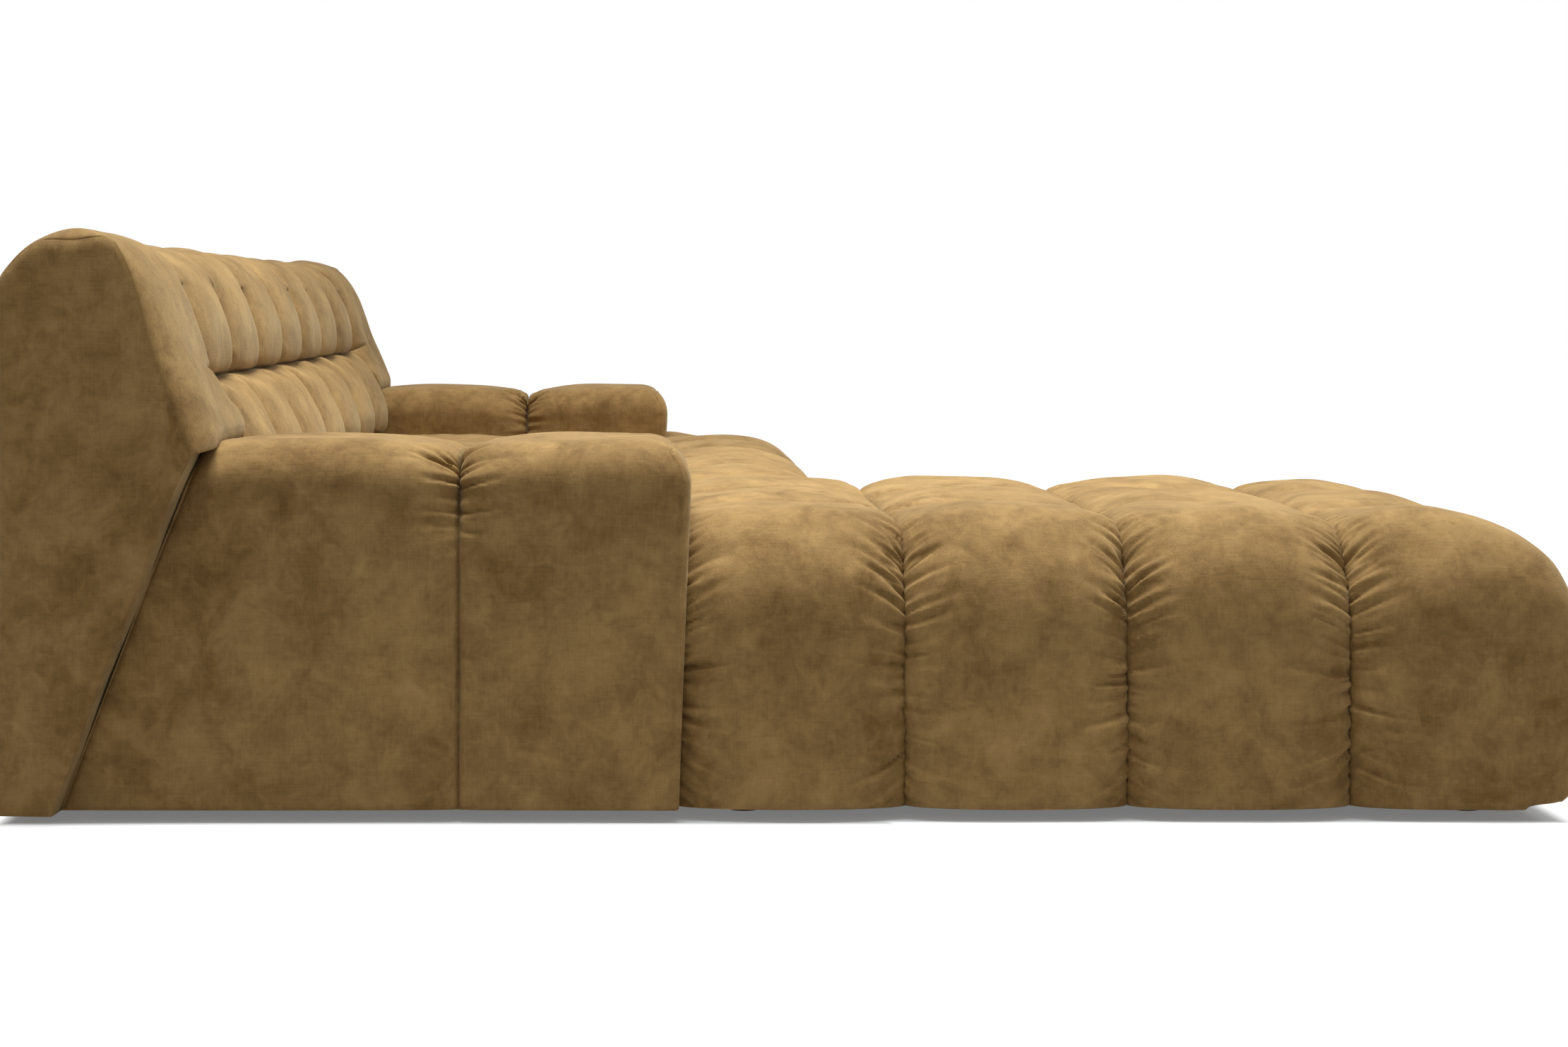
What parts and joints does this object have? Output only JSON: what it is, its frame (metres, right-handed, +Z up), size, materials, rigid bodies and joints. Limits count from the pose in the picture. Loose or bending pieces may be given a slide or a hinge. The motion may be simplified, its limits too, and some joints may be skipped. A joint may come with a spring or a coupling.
{
  "type": "lounge sofa",
  "caption": "Corner lounge sofa in tufted velvet with a long chaise on one side, two padded armrests and a channelled back.",
  "frame": {"origin": "on the floor, under the centre of the whole sofa's box", "axes": "+X to the right of someone who stands in front of the sofa and looks at it, +Y to its rear, +Z up; the chaise is on the -X side"},
  "size_m": [2.86, 2.17, 0.819],
  "materials": {
    "velvet": "mottled olive-gold velvet",
    "timber": "sawn pine",
    "plywood": "plywood",
    "foam": "cut polyether foam",
    "webbing": "elastic webbing",
    "dust_cloth": "black spun cloth",
    "foot_plastic": "black moulded plastic",
    "steel": "zinc-plated steel"
  },
  "bodies": {
    "root": {"chaise_arm_bolt_1": "steel", "chaise_arm_bolt_2": "steel", "chaise_arm_cover": "velvet", "chaise_arm_inner_board": "plywood", "chaise_arm_outer_board": "plywood", "chaise_arm_rail": "timber", "chaise_arm_top_board": "plywood", "chaise_back_base_rail": "timber", "chaise_back_bolt_1": "steel", "chaise_back_bolt_2": "steel", "chaise_back_cover": "velvet", "chaise_back_foam": "foam", "chaise_back_rib_1": "plywood", "chaise_back_top_rail": "timber", "chaise_bolster_rib": "plywood", "chaise_dust_cloth": "dust_cloth", "chaise_foot_front_joint": "foot_plastic", "chaise_foot_front_outer": "foot_plastic", "chaise_foot_rear_arm": "foot_plastic", "chaise_foot_rear_joint": "foot_plastic", "chaise_foot_step_outer": "foot_plastic", "chaise_front_rail": "timber", "chaise_hook": "steel", "chaise_joint_rail": "timber", "chaise_rear_rail": "timber", "chaise_seat_cover": "velvet", "chaise_seat_foam": "foam", "chaise_seat_webbing": "webbing", "chaise_side_rail": "timber", "chaise_step_rail": "timber", "main_arm_bolt_1": "steel", "main_arm_bolt_2": "steel", "main_arm_cover": "velvet", "main_arm_inner_board": "plywood", "main_arm_outer_board": "plywood", "main_arm_rail": "timber", "main_arm_top_board": "plywood", "main_back_base_rail": "timber", "main_back_bolt_1": "steel", "main_back_bolt_2": "steel", "main_back_cover": "velvet", "main_back_foam": "foam", "main_back_rib_1": "plywood", "main_back_rib_2": "plywood", "main_back_top_rail": "timber", "main_bolster_rib": "plywood", "main_dust_cloth": "dust_cloth", "main_foot_front_joint": "foot_plastic", "main_foot_front_outer": "foot_plastic", "main_foot_rear_arm": "foot_plastic", "main_foot_rear_joint": "foot_plastic", "main_front_rail": "timber", "main_joint_rail": "timber", "main_keeper": "steel", "main_rear_rail": "timber", "main_seat_cover": "velvet", "main_seat_foam": "foam", "main_seat_webbing": "webbing", "main_side_rail": "timber", "main_step_rail": "timber"}
  },
  "joints": []
}
